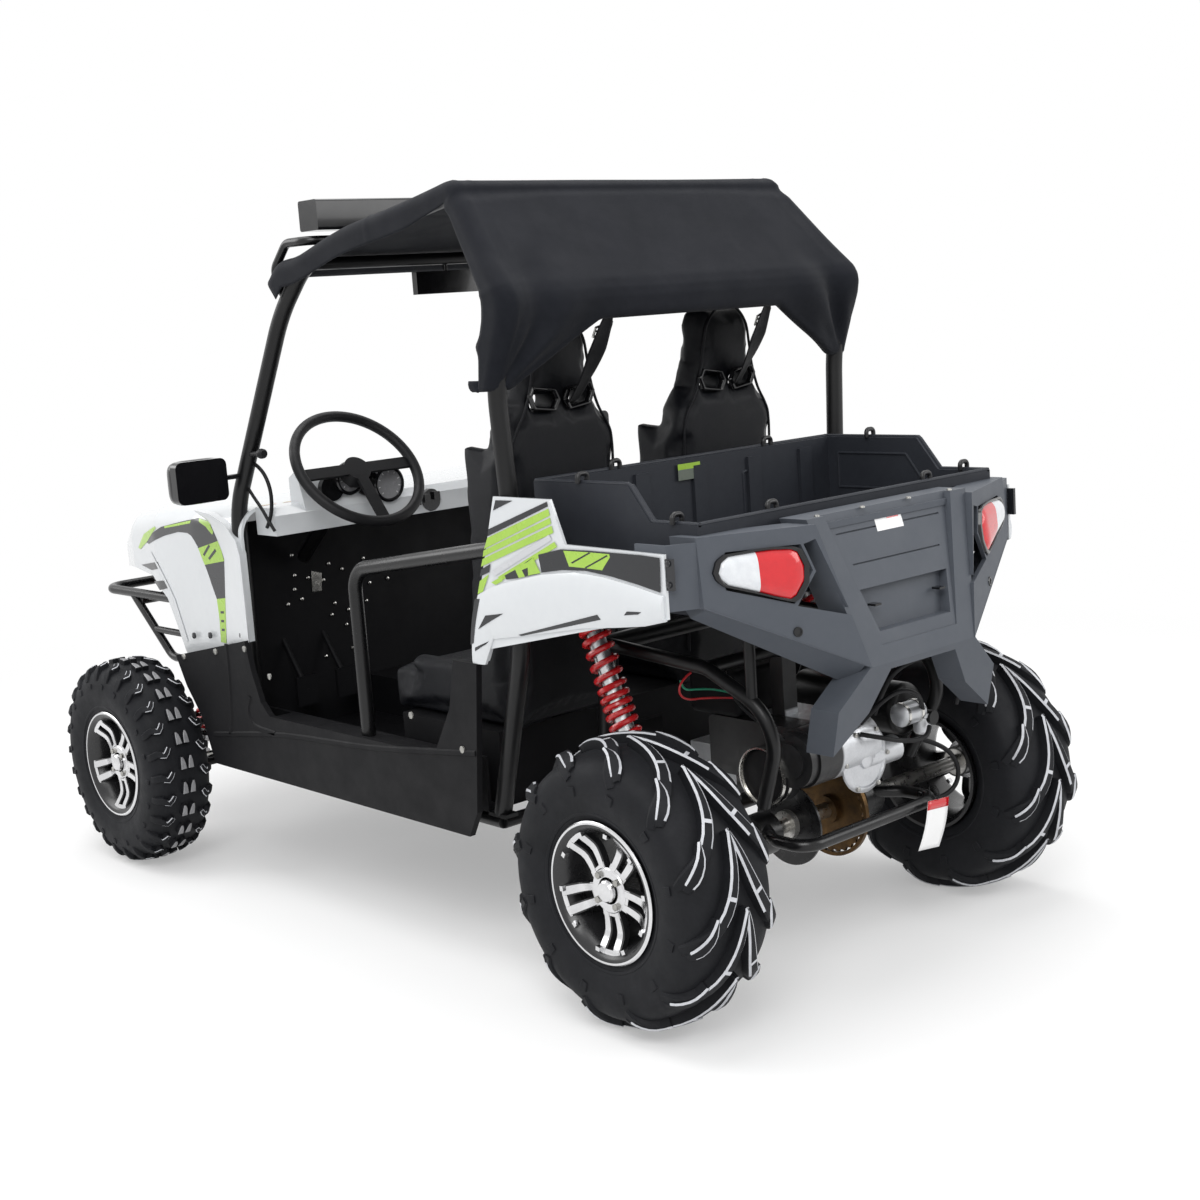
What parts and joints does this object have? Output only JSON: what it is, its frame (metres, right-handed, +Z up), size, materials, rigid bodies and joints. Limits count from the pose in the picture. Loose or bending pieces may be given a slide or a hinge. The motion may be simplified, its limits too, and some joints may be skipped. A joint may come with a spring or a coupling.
{
  "type": "side by side utility vehicle",
  "caption": "Two-seat side-by-side off-road buggy with an open engine, fabric canopy, roll cage, cargo bed, steerable front wheels and a driven rear axle.",
  "frame": {"origin": "middle of the bounding box in plan, at ground level", "axes": "+X points forward, +Y to the left of the driver, +Z up"},
  "size_m": [2.5442, 1.344, 1.614],
  "materials": {
    "cowl_white": "gloss",
    "frame_black": "satin",
    "tail_charcoal": "matte",
    "trim_black": "matte",
    "bed_black": "matte",
    "canopy_fabric": "matte",
    "seat_vinyl": "satin",
    "webbing": "matte",
    "tyre_rubber": "matte",
    "rim_alloy": "machined",
    "steel_bright": "brushed",
    "chain_brown": "brushed",
    "spring_red": "gloss",
    "damper_silver": "satin",
    "engine_silver": "cast",
    "headlamp_lens": "clear",
    "tail_lamp_red": "gloss",
    "lamp_housing": "satin",
    "gloss_black": "gloss",
    "hook_steel": "polished",
    "grip_black": "matte"
  },
  "bodies": {
    "chassis": {"airbox": "trim_black", "bed_hooks": "hook_steel", "canopy": "canopy_fabric", "cargo_bed": "bed_black", "chain": "chain_brown", "dampers": "damper_silver", "dash_panel": "cowl_white", "engine": "engine_silver", "exhaust": "frame_black", "floor_tub": "trim_black", "front_arms": "frame_black", "front_bumper": "frame_black", "front_cowl": "cowl_white", "harnesses": "webbing", "headlamps": "headlamp_lens", "hip_bars": "frame_black", "instruments": "gloss_black", "light_bar": "lamp_housing", "light_bar_mount": "frame_black", "main_frame": "frame_black", "mirrors": "gloss_black", "quarter_panels": "cowl_white", "roll_cage": "frame_black", "seat_base": "trim_black", "seat_left": "seat_vinyl", "seat_right": "seat_vinyl", "side_skirts": "trim_black", "springs": "spring_red", "steering_gear": "lamp_housing", "swing_arm": "frame_black", "tail_frame": "tail_charcoal", "tail_lamps": "tail_lamp_red"},
    "knuckle_left": {"knuckle_left": "damper_silver"},
    "knuckle_right": {"knuckle_right": "damper_silver"},
    "wheel_front_left": {"rim_front_left": "rim_alloy", "tyre_front_left": "tyre_rubber"},
    "wheel_front_right": {"rim_front_right": "rim_alloy", "tyre_front_right": "tyre_rubber"},
    "rear_wheels": {"rear_axle": "steel_bright", "sprocket": "chain_brown", "rim_rear_left": "rim_alloy", "rim_rear_right": "rim_alloy", "tyre_rear_left": "tyre_rubber", "tyre_rear_right": "tyre_rubber"},
    "tie_rod_left": {"tie_rod_left": "steel_bright"},
    "tie_rod_right": {"tie_rod_right": "steel_bright"},
    "steering_wheel": {"steering_wheel": "grip_black"}
  },
  "joints": [
    {"name": "rear_axle_spin", "type": "hinge", "parent": "chassis", "child": "rear_wheels", "pos_m": [-0.96335, 0, 0.2794], "axis": [0, 1, 0], "continuous": true},
    {"name": "steer_left", "type": "hinge", "parent": "chassis", "child": "knuckle_left", "pos_m": [0.83665, 0.555, 0.2667], "axis": [0, 0, 1], "range_deg": [-25, 25]},
    {"name": "steer_right", "type": "hinge", "parent": "chassis", "child": "knuckle_right", "pos_m": [0.83665, -0.555, 0.2667], "axis": [0, 0, 1], "range_deg": [-25, 25]},
    {"name": "front_left_spin", "type": "hinge", "parent": "knuckle_left", "child": "wheel_front_left", "pos_m": [0.83665, 0.583, 0.2667], "axis": [0, 1, 0], "continuous": true},
    {"name": "front_right_spin", "type": "hinge", "parent": "knuckle_right", "child": "wheel_front_right", "pos_m": [0.83665, -0.583, 0.2667], "axis": [0, 1, 0], "continuous": true},
    {"name": "tie_rod_left_turn", "type": "hinge", "parent": "knuckle_left", "child": "tie_rod_left", "pos_m": [0.75165, 0.555, 0.256], "axis": [0, 0, 1], "range_deg": [-25, 25]},
    {"name": "tie_rod_right_turn", "type": "hinge", "parent": "knuckle_right", "child": "tie_rod_right", "pos_m": [0.75165, -0.555, 0.256], "axis": [0, 0, 1], "range_deg": [-25, 25]},
    {"name": "steering_wheel_turn", "type": "hinge", "parent": "chassis", "child": "steering_wheel", "pos_m": [0.21465, 0.238, 1], "axis": [-0.766, 0, 0.6428], "range_deg": [-300, 300]}
  ],
  "couplings": [
    {"joint": "steer_right", "follows": "steer_left", "ratio": 1},
    {"joint": "tie_rod_left_turn", "follows": "steer_left", "ratio": -1},
    {"joint": "tie_rod_right_turn", "follows": "steer_left", "ratio": -1},
    {"joint": "steering_wheel_turn", "follows": "steer_left", "ratio": 12}
  ]
}
